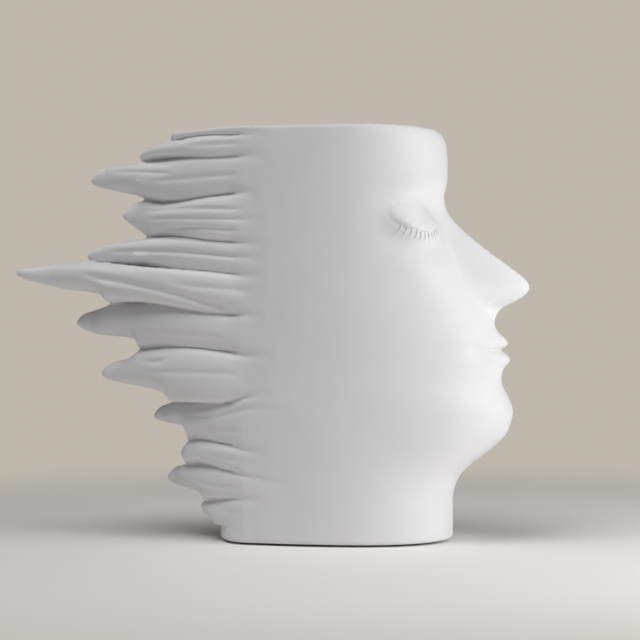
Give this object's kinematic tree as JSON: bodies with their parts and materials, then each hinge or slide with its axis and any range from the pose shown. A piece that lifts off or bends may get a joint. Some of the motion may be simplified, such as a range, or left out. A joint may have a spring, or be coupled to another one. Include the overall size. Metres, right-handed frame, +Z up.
{
  "type": "face vase",
  "caption": "Open-topped head vase with a calm closed-eyed face in front and swept-back pointed streaks behind, on a flat felt-padded foot.",
  "frame": {"origin": "middle of the foot, on the surface that it stands on", "axes": "+X forwards, the way the face looks; +Y to the vase's left; +Z up, out of the mouth"},
  "size_m": [0.3042, 0.097, 0.24],
  "materials": {
    "white_ceramic": "matt",
    "felt": "matt"
  },
  "bodies": {
    "root": {"head_shell": "white_ceramic", "streak_01": "white_ceramic", "streak_02": "white_ceramic", "streak_03": "white_ceramic", "streak_04": "white_ceramic", "streak_05": "white_ceramic", "streak_06": "white_ceramic", "streak_07": "white_ceramic", "streak_08": "white_ceramic", "streak_09": "white_ceramic", "streak_10": "white_ceramic", "streak_11": "white_ceramic", "streak_12": "white_ceramic", "base_pad": "felt"}
  },
  "joints": []
}
